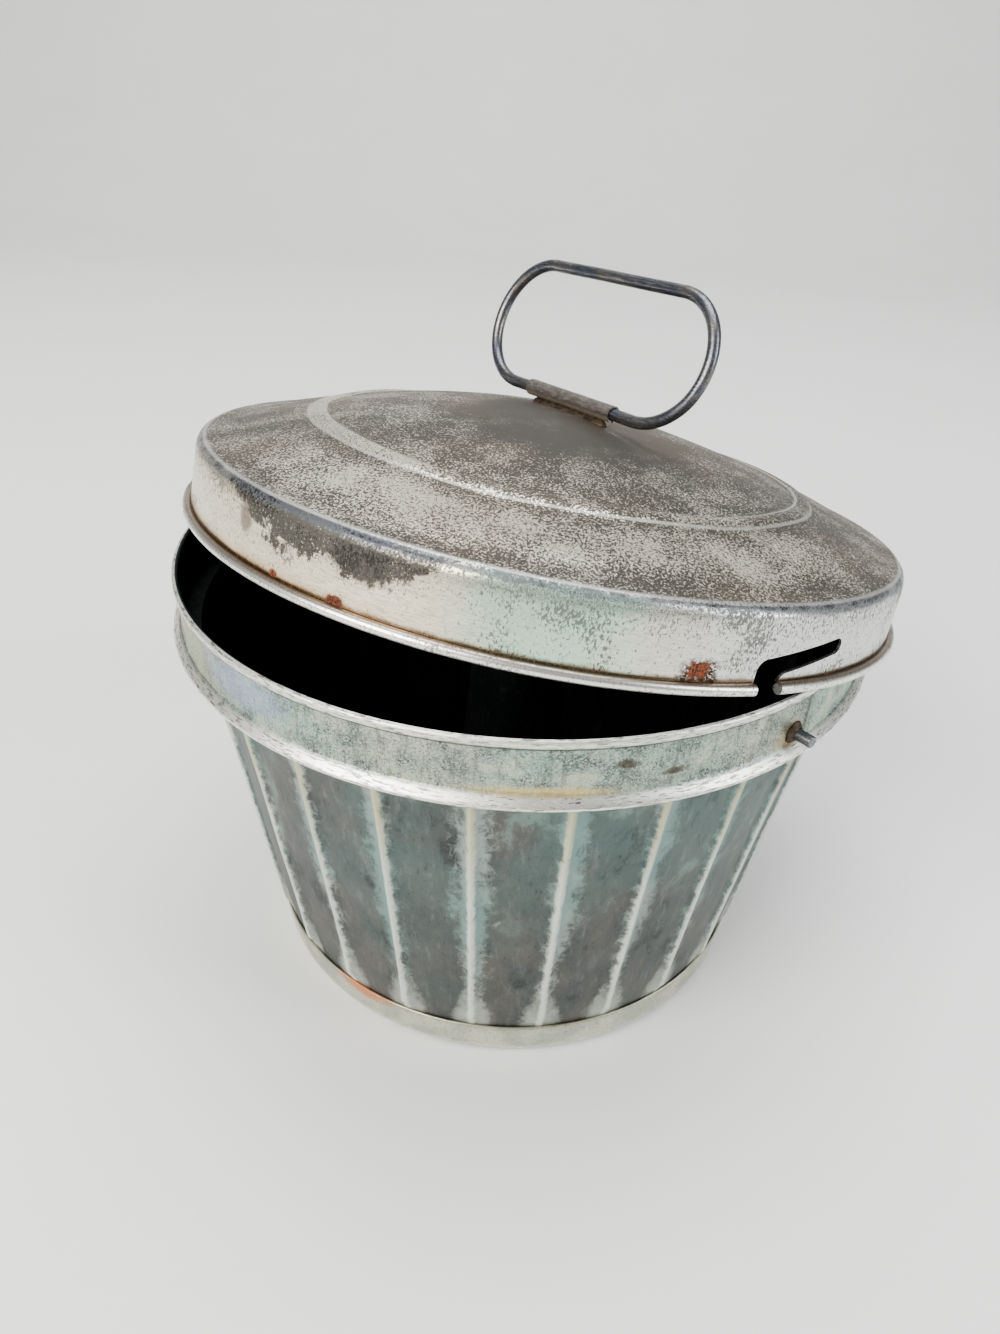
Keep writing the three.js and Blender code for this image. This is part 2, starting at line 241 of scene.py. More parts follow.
class Value:
    """A shader socket that Python's own signs work on."""

    def __init__(self, finish, socket):
        self.finish = finish
        self.socket = socket

    def sum(self, operation, first, second):
        return self.finish.add("Math", {"operation": operation}, {0: first, 1: second})

    def __add__(self, other):
        return self.sum("ADD", self, other)

    __radd__ = __add__

    def __sub__(self, other):
        return self.sum("SUBTRACT", self, other)

    def __rsub__(self, other):
        return self.sum("SUBTRACT", other, self)

    def __mul__(self, other):
        return self.sum("MULTIPLY", self, other)

    __rmul__ = __mul__

    def __truediv__(self, other):
        return self.sum("DIVIDE", self, other)

    def __pow__(self, other):
        return self.sum("POWER", self, other)

    def __abs__(self):
        return self.finish.add("Math", {"operation": "ABSOLUTE"}, {0: self})

    def __round__(self):
        return self.finish.add("Math", {"operation": "ROUND"}, {0: self})


class Finish:
    """One material being written. Lengths in it are millimetres of the piece's own frame."""

    def __init__(self, name):
        self.material = bpy.data.materials.new(name)
        self.material.use_nodes = True
        self.tree = self.material.node_tree
        self.tree.nodes.clear()
        place = self.add("TexCoord", {}, {}, "Object")
        self.place = self.add("VectorMath", {"operation": "SCALE"}, {0: place, "Scale": 1 / MM})
        parts = self.add("SeparateXYZ", {}, {0: self.place}, None)
        self.x, self.y, self.z = [Value(self, parts.outputs[axis]) for axis in "XYZ"]
        self.radius = (self.x * self.x + self.y * self.y) ** 0.5
        self.bearing = self.add("Math", {"operation": "ARCTAN2"}, {0: self.y, 1: self.x}) * math.degrees(1)

    def add(self, kind, settings, sockets, output=0):
        """Adds a node: its settings first, then its sockets' values or links. Gives one output."""
        node = self.tree.nodes.new("ShaderNode" + kind)
        for name, value in settings.items():
            setattr(node, name, value)
        for key, value in sockets.items():
            if isinstance(value, Value):
                self.tree.links.new(value.socket, node.inputs[key])
            else:
                node.inputs[key].default_value = value
        return node if output is None else Value(self, node.outputs[output])

    def ramp(self, value, low, high):
        """0 below low, 1 above high, smooth between. low may be the larger, which turns it over."""
        sockets = {"Value": value, "From Min": low, "From Max": high}
        return self.add("MapRange", {"interpolation_type": "SMOOTHSTEP"}, sockets)

    def cloud(self, size, stretch=(1, 1, 1), detail=4, rough=0.55, seed=0, bend=0):
        """Noise between 0 and 1, with features of about size millimetres, longer where stretch is."""
        shrink = tuple(1 / (size * s) for s in stretch)
        spot = self.add("VectorMath", {"operation": "MULTIPLY_ADD"},
                        {0: self.place, 1: shrink, 2: (seed * 7.3, seed * 3.1, seed * 5.7)})
        return self.add("TexNoise", {}, {"Vector": spot, "Scale": 1, "Detail": detail,
                                         "Roughness": rough, "Distortion": bend})

    def cover(self, grain, share, crisp=0.03):
        """A mask over about that share of the surface, 0 to 1, with the grain's ragged outline."""
        level = 0.5 + (0.5 - share) * 0.5
        return self.ramp(grain, level - crisp, level + crisp)

    def spread(self, grain, share, soft):
        """A mask over about a share that may itself vary, from fine grain."""
        return self.ramp(grain - 0.5 - (0.5 - share) * GRAIN_SPREAD, -soft, soft)

    def mark(self, bearing, height, wide, tall, ragged, edge):
        """A blotch on a wall, round a bearing and height, with an outline that the ragged noise moves."""
        across = (self.bearing - bearing) * self.radius * math.radians(1) / wide
        up = (self.z - height) / tall
        away = (across * across + up * up) ** 0.5 + (ragged - 0.5) * 2
        return self.ramp(away, 1 + edge, 1 - edge)

    def mix(self, mask, first, second):
        """The first colour where the mask is 0, the second where it's 1."""
        return self.add("Mix", {"data_type": "RGBA"}, {0: mask, 6: first, 7: second}, 2)

    def shade(self, colour, roughness, metallic, heights):
        """The shader: heights is (value, millimetres, strength)s, laid one on the other as bumps."""
        sockets = {"Base Color": colour, "Roughness": roughness, "Metallic": metallic}
        normal = None
        for height, depth, strength in heights:
            bump = {"Height": height, "Distance": depth * MM, "Strength": strength}
            if normal:
                bump["Normal"] = normal
            normal = self.add("Bump", {}, bump)
        if normal:
            sockets["Normal"] = normal
        surface = self.add("BsdfPrincipled", {}, sockets)
        self.add("OutputMaterial", {}, {"Surface": surface}, None)
        return self.material


# ---- Finishes ----

def floor_paint():
    paint = Finish("pale_floor")
    mottle = paint.cloud(90, detail=3)
    colour = paint.mix(mottle, tone(226, 226, 223), tone(232, 232, 230))
    return paint.shade(colour, 0.7, 0.0, [(paint.cloud(1.5), 0.05, 0.2)])


def dome_flecks(tin, fleck, patch, outline):
    """Where the dome is still bright: thick along the near shoulder and the ring, thin at the sleeve. The
    extra flecks along the front of the shoulder and on the ring's left side are painted highlight.
    """
    near = tin.ramp(tin.y, -30, -60)
    left = tin.ramp(tin.x, -5, -50)
    band = tin.ramp(abs(tin.radius - 73), 10, 3)
    ring = tin.ramp(abs(tin.radius - RING_R), 2.6, 1.2)
    middle = (tin.x * tin.x + (tin.y + 12) * (tin.y + 12)) ** 0.5
    rubbed = tin.ramp(middle + (outline - 0.5) * 26, 34, 20)
    # Extra bright flecks along the front of the shoulder and on the ring's left side: painted highlight.
    share = 0.25 + tin.ramp(patch, 0.42, 0.6) * 0.15 + band * near * 0.18 + left * 0.03
    share = share + ring * (0.05 + left * 0.24) - rubbed * 0.27
    return tin.spread(fleck, share, 0.045)


def dome_colour(tin, flecks, drift, patch):
    ground = tin.mix(tin.ramp(drift, 0.38, 0.62), tone(84, 81, 76), tone(98, 89, 81))
    ground = tin.mix(tin.ramp(patch, 0.5, 0.7) * 0.4, ground, tone(124, 120, 112))
    # Flecks made brighter towards the front: painted highlight.
    near = tin.ramp(tin.y + (patch - 0.5) * 60, -20, -60)
    dome = tin.mix(flecks * (0.6 + near * 0.34), ground, tone(250, 243, 226))
    # Thin bright lines along both edges of the raised ring: painted highlight.
    painted_highlight = tin.ramp(abs(abs(tin.radius - RING_R) - 2.0), 0.5, 0.15)
    return tin.mix(painted_highlight * 0.45, dome, tone(226, 222, 212))


def skirt_colour(tin, fleck, pits, drift, outline):
    """Cream at the left, mint in front, silver at the right, worn to slate in rags under the shoulder."""
    slate = tone(84, 82, 78)
    brush = tin.cloud(0.4, (7, 7, 0.6), detail=4, rough=0.7, seed=6)
    tint = tin.mix(tin.ramp(tin.bearing, -92, -64), tone(244, 234, 212), tone(216, 216, 212))
    tint = tin.mix(tin.ramp(brush, 0.45, 0.66) * 0.5, tint, tone(150, 148, 144))
    mint = tin.ramp(abs(tin.bearing + 91) + (drift - 0.5) * 30, 14, 3)
    tint = tin.mix(mint * 0.7, tint, tone(190, 232, 214))
    skirt = tin.mix(pits * 0.8, tint, slate)
    rags = tin.ramp(abs(tin.bearing + 121) + (drift - 0.5) * 20, 20, 4)
    hang = tin.z - SKIRT_TALL + 0.8 + rags * 7.4 + (outline - 0.5) * (6 + rags * 16)
    worn = tin.ramp(hang, -0.5, 0.7) * tin.cover(fleck, 0.74, 0.05)
    core = tin.mark(-114, 13, 5.6, 4, outline * 2 - 0.5, 0.3) * tin.cover(fleck, 0.86, 0.05)
    skirt = tin.mix((worn + core) * 0.95, skirt, slate)
    blot = tin.mark(-135, 11, 2.2, 2.6, outline, 0.4)
    skirt = tin.mix(blot * 0.7, skirt, tone(112, 94, 86))
    # Bluish-grey band along the shoulder's bend: painted shade.
    painted_shoulder_shade = tin.ramp(abs(tin.z - SKIRT_TALL + 1.2) + (outline - 0.5) * 1.5, 0.9, 0.3)
    skirt = tin.mix(painted_shoulder_shade * 0.5, skirt, tone(104, 110, 120))
    # Thin bright line where the skirt turns into the shoulder: painted highlight.
    painted_highlight = tin.ramp(abs(tin.z - SKIRT_TALL + 0.3), 0.4, 0.1)
    return tin.mix(painted_highlight * 0.6, skirt, tone(216, 216, 214))


def rusted(tin, skirt, fleck, outline):
    """The brown crevice above the wired edge, its stain, and three spots of rust."""
    stain = tin.ramp(tin.z + (outline - 0.5) * 4, 6.0, 2.6) * tin.ramp(tin.bearing, -98, -124)
    skirt = tin.mix(stain * 0.55, skirt, tone(196, 158, 112))
    crevice = tin.ramp(tin.z + (outline - 0.5) * 1.6, 3.7, 2.7)
    skirt = tin.mix(crevice * 0.82, skirt, tone(104, 80, 54))
    halo = tin.mark(-72, 4.4, 4.6, 2.6, outline * 1.4 - 0.2, 0.3)
    skirt = tin.mix(halo * tin.cover(fleck, 0.6), skirt, tone(70, 56, 46))
    rust = tin.mark(-72.1, 4.8, 2.9, 2.0, outline * 1.3 - 0.1, 0.25)
    rust = rust + tin.mark(-117.6, 3.2, 1.9, 1.1, outline, 0.3)
    rust = rust + tin.mark(-128, 3.4, 1.2, 0.8, outline, 0.3)
    rusty = tin.mix(tin.ramp(fleck, 0.42, 0.6), tone(66, 38, 28), tone(142, 80, 50))
    return tin.mix(rust, skirt, rusty), rust


def lid_tin():
    """Worn tin: a brown-grey dome flecked with bright tin, over a bright pitted skirt."""
    tin = Finish("lid_tin")
    fleck = tin.cloud(0.5, detail=4, rough=0.7)
    drawn = tin.cloud(0.45, (1, 1, 1.8), detail=4, rough=0.7, seed=1)
    patch = tin.cloud(13, detail=5, rough=0.62, seed=2)
    drift = tin.cloud(38, detail=2, seed=3)
    outline = tin.cloud(4.5, detail=6, rough=0.7, seed=4)
    pit_share = 0.2 + tin.ramp(tin.z, 7, 17) * 0.24 + tin.ramp(patch, 0.48, 0.64) * 0.26
    pits = tin.spread(drawn, pit_share, 0.04)
    flecks = dome_flecks(tin, fleck, patch, outline)
    dome = dome_colour(tin, flecks, drift, patch)
    skirt, rust = rusted(tin, skirt_colour(tin, fleck, pits, drift, outline), fleck, outline)
    upper = tin.ramp(tin.z, SKIRT_TALL - 0.35, SKIRT_TALL - 0.05)
    colour = tin.mix(upper, skirt, dome)
    dull = upper * (1 - flecks) + (1 - upper) * pits
    roughness = 0.25 + dull * 0.28 + rust * 0.35
    metallic = 0.94 - dull * 0.24 - rust * 0.8
    heights = [(drift, 0.5, 0.3), (patch, 0.3, 0.4), (drawn, 0.05, 0.4), (1 - dull, 0.04, 0.5)]
    return tin.shade(colour, roughness, metallic, heights)


def edge_tin():
    """The rolled edge: silver, nicked dark, with brown dirt where it meets the skirt."""
    tin = Finish("edge_tin")
    speck = tin.cloud(0.5, detail=5, rough=0.7)
    patch = tin.cloud(9, detail=3, seed=1)
    dark = tin.ramp(speck - 0.53 + (patch - 0.5) * 0.3, 0.0, 0.08)
    colour = tin.mix(dark * 0.75, tone(232, 230, 224), tone(104, 100, 98))
    crevice = tin.ramp(tin.z, 1.8, 2.4)
    colour = tin.mix(crevice * 0.75, colour, tone(104, 80, 54))
    return tin.shade(colour, 0.28 + dark * 0.25, 0.92, [(speck, 0.06, 0.3), (patch, 0.2, 0.2)])


def sleeve_tin():
    """Brown-grey strip with a pale, rubbed lower edge."""
    tin = Finish("sleeve_tin")
    speck = tin.cloud(0.6, (3, 1, 1), detail=5, rough=0.7)
    worn = tin.ramp(tin.z + (speck - 0.5) * 2.4, -0.5, -1.2)
    colour = tin.mix(tin.ramp(speck, 0.4, 0.66) * 0.6, tone(112, 106, 102), tone(160, 152, 144))
    colour = tin.mix(worn * 0.6, colour, tone(214, 204, 186))
    return tin.shade(colour, 0.4 + speck * 0.1, 0.85, [(speck, 0.08, 0.4)])


def collar_stains(tin, colour, outline):
    """Faint lilac at the left, yellow by the ledge in front, brown round the pin, a rusty far left."""
    lilac = tin.mark(-131, 108.5, 13, 4.2, outline, 0.6)
    colour = tin.mix(lilac * 0.5, colour, tone(168, 176, 206))
    olive = tin.mark(-146, 108, 9, 6, outline, 0.6)
    colour = tin.mix(olive * 0.5, colour, tone(176, 170, 136))
    blush = tin.mark(-163, 105, 7, 5, outline, 0.5)
    colour = tin.mix(blush * 0.6, colour, tone(176, 104, 84))
    yellow = tin.mark(-86, SEAM_Z + 3.4, 13, 1.1, outline * 0.6 + 0.2, 0.6)
    colour = tin.mix(yellow * 0.65, colour, tone(226, 200, 138))
    spot = tin.mark(-75.3, 108.6, 2.6, 1.1, outline * 1.3 - 0.1, 0.3)
    spot = spot + tin.mark(-68.5, 105.4, 3.6, 1.0, outline * 1.5 - 0.2, 0.3)
    colour = tin.mix(spot * 0.8, colour, tone(76, 64, 56))
    root = tin.mark(PIN_BEARING - 0.6, PIN_Z - 1.2, 4, 4.4, outline, 0.5)
    colour = tin.mix(root * 0.6, colour, tone(146, 124, 76))
    lap = tin.ramp(abs(tin.bearing - LAP_BEARING), 0.4, 0.12)
    return tin.mix(lap * 0.6, colour, tone(84, 82, 72))


def collar_tin():
    """Mottled grey-green tin with drip stains, bright on the hem and on the ledge, with thin lines of
    painted shade under the hem and at the ledge's foot.
    """
    tin = Finish("collar_tin")
    fine = tin.cloud(0.45, detail=5, rough=0.72)
    patch = tin.cloud(8, (1, 1, 0.8), detail=6, rough=0.65, seed=1)
    drift = tin.cloud(32, detail=2, seed=2)
    outline = tin.cloud(3.4, detail=6, rough=0.7, seed=3)
    drip = tin.cloud(1.5, (1, 1, 6), detail=5, rough=0.65, seed=4)
    colour = tin.mix(tin.ramp(drift, 0.38, 0.62), tone(128, 154, 144), tone(148, 153, 146))
    colour = tin.mix(tin.ramp(patch, 0.49, 0.58) * 0.75, colour, tone(92, 106, 104))
    colour = tin.mix(tin.ramp(patch, 0.48, 0.38) * 0.55, colour, tone(190, 196, 172))
    colour = tin.mix(tin.ramp(fine, 0.46, 0.62) * 0.6, colour, tone(208, 212, 200))
    specks = tin.ramp(fine * 0.7 + outline * 0.3, 0.45, 0.39)
    drips = tin.ramp(drip, 0.52, 0.64)
    colour = tin.mix(specks * 0.8, colour, tone(66, 66, 62))
    colour = tin.mix(drips * 0.4, colour, tone(84, 84, 76))
    colour = collar_stains(tin, colour, outline)
    hem = tin.ramp(tin.z, RIM_Z - HEM_TALL - 0.5, RIM_Z - HEM_TALL)
    ledge = tin.ramp(tin.z, SEAM_Z + 3.0, SEAM_Z + 2.3)
    scratch = tin.cloud(0.9, (3, 3, 0.3), detail=6, rough=0.7, seed=5)
    scar = tin.ramp(scratch, 0.51, 0.59)
    bright = tin.mix(scar * 0.8, tone(240, 238, 230), tone(84, 80, 78))
    colour = tin.mix(hem * 0.8 + ledge * 0.95, colour, bright)
    # Thin dark lines under the hem and along the foot of the ledge: painted shade.
    painted_crease_shade = tin.ramp(abs(tin.z - RIM_Z + HEM_TALL + 0.35), 0.5, 0.15)
    painted_crease_shade = painted_crease_shade + tin.ramp(tin.z, SEAM_Z + 0.6, SEAM_Z + 0.2)
    colour = tin.mix(painted_crease_shade * 0.75, colour, tone(70, 66, 62))
    roughness = 0.34 + specks * 0.2 + fine * 0.14 - ledge * 0.08
    heights = [(drift, 0.4, 0.2), (patch, 0.12, 0.25), (fine, 0.05, 0.35), (scar, 0.04, 0.3)]
    return tin.shade(colour, roughness, 0.88, heights)


def wall_ground(tin, fine, patch, drift):
    """Slate grey, clouded teal near the top, with dark runs and scratches down it."""
    streak = tin.cloud(1.8, (1, 1, 5), detail=7, rough=0.72, seed=4)
    top = tin.ramp(tin.z + (patch - 0.5) * 40, 44, 84)
    colour = tin.mix(tin.ramp(patch, 0.4, 0.62), tone(89, 93, 92), tone(104, 102, 99))
    teal = tin.ramp(drift, 0.42, 0.6) * (0.3 + top * 0.7)
    colour = tin.mix(teal * 0.5, colour, tone(98, 120, 117))
    blotch = tin.ramp(patch, 0.44, 0.35) * tin.ramp(fine, 0.36, 0.56)
    colour = tin.mix(blotch * 0.6, colour, tone(54, 54, 52))
    colour = tin.mix(tin.ramp(patch, 0.56, 0.66) * top * 0.5, colour, tone(134, 158, 150))
    colour = tin.mix(tin.ramp(streak, 0.5, 0.7) * 0.3, colour, tone(142, 148, 146))
    colour = tin.mix(tin.ramp(streak, 0.43, 0.33) * 0.42, colour, tone(54, 56, 56))
    return tin.mix(tin.ramp(fine, 0.42, 0.34) * 0.5, colour, tone(50, 48, 46))


def wall_tin():
    """Slate-grey tin, its ribs rubbed bright and frosted with pale oxide on one side; the crests also carry
    a painted highlight and the feet a pale painted reflection.
    """
    tin = Finish("wall_tin")
    pitch = 360 / RIB_COUNT
    fine = tin.cloud(0.55, (1, 1, 1.6), detail=5, rough=0.72)
    feather = tin.cloud(2.4, (1, 1, 1.3), detail=8, rough=0.76, seed=1, bend=0.5)
    patch = tin.cloud(11, (1, 1, 1.6), detail=6, rough=0.62, seed=2)
    drift = tin.cloud(34, (1, 1, 1.4), detail=3, seed=3)
    turns = (tin.bearing - RIB_PHASE) / pitch
    offset = turns - round(turns)
    away = abs(offset) * tin.radius * math.radians(pitch)
    colour = wall_ground(tin, fine, patch, drift)
    # Oxide hugs the side of each rib that faces away from the middle of the front
    side = 1 - abs(tin.ramp(offset, -0.02, 0.02) - tin.ramp(tin.bearing, -102, -90))
    high = tin.ramp(tin.z, 30, 56)
    reach = 0.4 + side * (0.5 + high * 2.4) + tin.ramp(patch, 0.48, 0.66) * 1.4
    frost = tin.ramp(away + (feather - 0.5) * 14, reach + 2.0, reach - 1.6)
    oxide = tin.mix(tin.ramp(drift, 0.4, 0.6), tone(186, 198, 192), tone(146, 176, 170))
    colour = tin.mix(frost * (0.2 + feather * 0.7), colour, oxide)
    # Pale haze spreading round each rib's foot: painted reflection.
    foot = tin.ramp(tin.z + (feather - 0.5) * 12, CAP_TALL + 22, CAP_TALL + 1)
    spread = tin.ramp(away + (feather - 0.5) * 4, 1.6 + foot * 4.6, 0.6 + foot * 2.4)
    colour = tin.mix(spread * foot * 0.8, colour, tone(182, 186, 178))
    rim = tin.ramp(tin.z + (feather - 0.5) * 9, SEAM_Z - 9, SEAM_Z - 2)
    colour = tin.mix(rim * 0.35, colour, tone(144, 160, 152))
    # Bright line down each rib's crest: partly rubbed-bright tin, partly painted highlight.
    crest = tin.ramp(away + (feather - 0.5) * 2.2, 1.3, 0.4)
    crest_tin_and_highlight = tin.mix(tin.ramp(tin.z, 60, 90), tone(214, 218, 210), tone(198, 196, 166))
    colour = tin.mix(crest * (0.55 + fine * 0.5), colour, crest_tin_and_highlight)
    roughness = 0.4 + frost * 0.14 + fine * 0.14
    metallic = 0.88 - frost * 0.28 - crest * 0.1
    heights = [(drift, 0.6, 0.3), (patch, 0.2, 0.25), (frost, 0.03, 0.4), (fine, 0.06, 0.35)]
    return tin.shade(colour, roughness, metallic, heights)


def base_tin():
    """Pale cream-grey, brightest round its lower edge, rusty at one place on its upper edge."""
    tin = Finish("base_tin")
    fine = tin.cloud(0.6, detail=5, rough=0.7)
    patch = tin.cloud(9, detail=5, seed=1)
    outline = tin.cloud(3, detail=6, rough=0.7, seed=3)
    colour = tin.mix(tin.ramp(patch, 0.42, 0.62), tone(206, 206, 190), tone(180, 184, 172))
    colour = tin.mix(tin.ramp(fine, 0.46, 0.36) * 0.6, colour, tone(110, 106, 94))
    under = tin.ramp(tin.z, 0.3, 0.05)
    colour = tin.mix(under * 0.6, colour, tone(112, 108, 100))
    polish = tin.ramp(abs(tin.z - 2.2) + (outline - 0.5) * 2, 2.2, 0.8)
    colour = tin.mix(polish * 0.7, colour, tone(236, 236, 230))
    grime = tin.ramp(tin.z + (outline - 0.5) * 3, CAP_TALL - 1.5, CAP_TALL)
    colour = tin.mix(grime * 0.4, colour, tone(140, 128, 96))
    rust = tin.mark(-121, CAP_TALL - 1, 8.5, 2.2, outline, 0.5)
    colour = tin.mix(rust * 0.85, colour, tin.mix(fine, tone(150, 84, 48), tone(226, 152, 102)))
    roughness = 0.36 + patch * 0.1 + rust * 0.2
    return tin.shade(colour, roughness, 0.88 - rust * 0.5, [(fine, 0.05, 0.3), (patch, 0.25, 0.2)])


def inside_tin_and_shade():
    """The unseen inside: dark, smoke-grey tin, made dark as painted shade for the shaded inside of mould
    and lid.
    """
    tin = Finish("inside_tin_and_shade")
    fine = tin.cloud(1.2, (1, 1, 3), detail=6, rough=0.7)
    patch = tin.cloud(18, detail=4, seed=1)
    colour = tin.mix(tin.ramp(patch, 0.35, 0.65), tone(52, 57, 60), tone(72, 76, 76))
    colour = tin.mix(tin.ramp(fine, 0.5, 0.68) * 0.5, colour, tone(104, 106, 100))
    return tin.shade(colour, 0.5 + patch * 0.15, 0.8, [(fine, 0.06, 0.3), (patch, 0.3, 0.2)])


def solder():
    metal = Finish("solder")
    lump = metal.cloud(1.2, detail=5)
    # Dark brown; on the bank under the handle's sleeve it also stands for the dark line there, as painted
    # shade.
    colour = metal.mix(metal.ramp(lump, 0.38, 0.62), tone(80, 68, 56), tone(52, 42, 34))
    return metal.shade(colour, 0.5, 0.5, [(lump, 0.15, 0.5)])


def steel_wire():
    """Dark satin steel with lengthwise drawing marks, browner where it has been held."""
    steel = Finish("steel_wire")
    patch = steel.cloud(7, detail=4, rough=0.6)
    grain = steel.cloud(0.3, (12, 1, 1), detail=4, rough=0.65, seed=1)
    speck = steel.cloud(0.4, detail=5, rough=0.7, seed=2)
    colour = steel.mix(steel.ramp(patch, 0.38, 0.64), tone(94, 98, 108), tone(122, 118, 116))
    colour = steel.mix(steel.ramp(grain, 0.48, 0.68) * 0.6, colour, tone(172, 172, 174))
    dark = steel.ramp(speck, 0.44, 0.36)
    colour = steel.mix(dark * 0.7, colour, tone(54, 48, 46))
    return steel.shade(colour, 0.32 + dark * 0.25, 0.92, [(grain, 0.05, 0.35), (speck, 0.04, 0.3)])


# ---- Making meshes ----

def arc(middle, radius, start, end, steps):
    """Points round a middle, from one angle to another, in degrees."""
    turns = [math.radians(start + (end - start) * i / steps) for i in range(steps + 1)]
    return [(middle[0] + radius * math.cos(t), middle[1] + radius * math.sin(t)) for t in turns]


def between(start, end, steps):
    """Points on a straight line, both ends included."""
    return [tuple(a + (b - a) * i / steps for a, b in zip(start, end)) for i in range(steps + 1)]


def smooth_step(value, low, high):
    t = min(max((value - low) / (high - low), 0), 1)
    return t * t * (3 - 2 * t)


def sway(x, y, z, reach, seed):
    """Smooth noise between about -1 and 1 that is the same on every run."""
    return noise.noise(Vector((x / reach + seed, y / reach - seed, z / reach + 2 * seed)))


def settle(name, points, faces, inner, finishes, home):
    """Turns points, in millimetres, into an object at its frame. inner says which faces take the inside
    finish, darkened as painted shade.
    """
    mesh = bpy.data.meshes.new(name)
    mesh.from_pydata([tuple(c * MM for c in p) for p in points], [], faces)
    for finish in finishes:
        mesh.materials.append(finish)
    mesh.polygons.foreach_set("material_index", inner)
    tidy = bmesh.new()
    tidy.from_mesh(mesh)
    bmesh.ops.remove_doubles(tidy, verts=tidy.verts, dist=1e-4 * MM)
    bmesh.ops.recalc_face_normals(tidy, faces=tidy.faces)
    tidy.to_mesh(mesh)
    tidy.free()
    mesh.polygons.foreach_set("use_smooth", [True] * len(mesh.polygons))
    mesh.set_sharp_from_angle(angle=CREASE)
    piece = bpy.data.objects.new(name, mesh)
    piece.matrix_world = home
    bpy.context.scene.collection.objects.link(piece)
    return piece


def turned(name, outside, inside, columns, finishes, home, shape=None):
    """A sheet turned about its frame's axis. shape may move each point: (r, z, bearing) to the same."""
    outline = outside + inside
    points = []
    for i in range(columns):
        bearing = 2 * math.pi * i / columns
        for r, z in outline:
            far, high, turn = shape(r, z, bearing) if shape else (r, z, bearing)
            points.append((far * math.cos(turn), far * math.sin(turn), high))
    count = len(outline)
    faces = []
    inner = []
    for i in range(columns):
        for j in range(count):
            here = i * count
            there = (i + 1) % columns * count
            after = (j + 1) % count
            faces.append((here + j, there + j, there + after, here + after))
            inner.append(1 if len(outside) - 1 < j < count - 1 else 0)
    return settle(name, points, faces, inner, finishes, home)


def swept(name, spine, section, finishes, home):
    """A section of (side, up) points carried along a spine of (place, side, up) stations, with ends."""
    points = []
    for place, side, up in spine:
        points += [tuple(place + side * a + up * b) for a, b in section]
    count = len(section)
    rows = len(spine)
    faces = []
    for i in range(rows - 1):
        for j in range(count):
            here = i * count
            there = (i + 1) * count
            after = (j + 1) % count
            faces.append((here + j, there + j, there + after, here + after))
    faces.append(tuple(range(count)))
    faces.append(tuple(range((rows - 1) * count, rows * count)))
    return settle(name, points, faces, [0] * len(faces), finishes, home)


def finished(piece, body, slot, *nodes):
    """The piece rides on its body and stands for its CAD nodes, which it hides. slot is not used."""
    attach(piece, body)
    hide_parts(*nodes)
    return piece


# ---- The pot ----

def panel_r(z):
    return FOOT_R + WALL_SLOPE * z


def rib_lift(z, bearing, r):
    """How far the wall stands out at a bearing: ribs broaden as they run down into the base cap."""
    pitch = 2 * math.pi / RIB_COUNT
    turns = (bearing - math.radians(RIB_PHASE)) / pitch
    away = abs(turns - round(turns)) * pitch * r
    flare = 1 - smooth_step(z, CAP_TALL, CAP_TALL + 16)
    rise = smooth_step(z, CAP_TALL + 0.6, CAP_TALL + 4)
    fall = 1 - smooth_step(z, SEAM_Z - RIB_FADE, SEAM_Z - NECK)
    half = RIB_HALF * (0.8 + 0.9 * flare)
    return RIB_OUT * math.exp(-((away / half) ** 2)) * rise * fall


def make_wall():
    neck = SEAM_Z - NECK
    flange_r = SEAM_R - SHEET - 1.2
    flange_z = SEAM_Z + SHEET + GAP
    rise = between((panel_r(WALL_FOOT), WALL_FOOT), (panel_r(neck), neck), 46)
    outside = rise + [(panel_r(neck) + 0.7, flange_z - 0.2), (flange_r, flange_z)]
    inside = [(flange_r, flange_z + SHEET), (panel_r(neck) + 0.3, flange_z + SHEET - 0.2)]
    inside += [(r - SHEET, z) for r, z in reversed(rise)]
    inside[2] = (panel_r(neck) - SHEET, neck + 0.4)

    def shape(r, z, bearing):
        x, y = r * math.cos(bearing), r * math.sin(bearing)
        dent = 0.22 * sway(x, y, z, 24, 3) * smooth_step(z, 14, 30) * (1 - smooth_step(z, 85, 96))
        return r + rib_lift(z, bearing, r) + dent, z, bearing

    wall = turned("fluted_wall_sheet", outside, inside, RIB_COUNT * 26,
                  (WALL_TIN, INSIDE_TIN_AND_SHADE), POT, shape)
    return finished(wall, "pot", "wall_tin", "fluted_wall")


def make_base_cap():
    def inner_r(z):
        return panel_r(z) + GAP

    hole = TUBE_FOOT_R - 2
    foot_in = inner_r(0) - FOOT_WIDE
    corner = inner_r(0) - 2.2
    outside = [(hole, PANEL_Z), (foot_in - 2.6, PANEL_Z), (foot_in - 1.7, PANEL_Z - 0.3)]
    outside += [(foot_in - 0.5, 0.3), (foot_in + 0.3, 0.0)]
    bend = 2.6
    outside += arc((corner, bend), bend, -90, -12, 8)
    edge = (panel_r(CAP_TALL) + SHEET / 2, CAP_TALL - SHEET / 2)
    outside += between((inner_r(3) + SHEET, 3), (edge[0] + SHEET / 2, edge[1]), 6)
    outside += arc(edge, SHEET / 2, 8, 180, 6)
    inside = [(inner_r(6), 6), (inner_r(2.6), 2.6), (inner_r(1.2) - 0.7, 1.2)]
    inside += [(corner, SHEET), (foot_in + 0.4, SHEET), (foot_in - 2.1, PANEL_Z + SHEET)]
    inside += [(hole, PANEL_Z + SHEET)]
    cap = turned("base_cap", outside, inside, 240, (BASE_TIN, INSIDE_TIN_AND_SHADE), POT)
    return finished(cap, "pot", "base_tin", "base_pan")


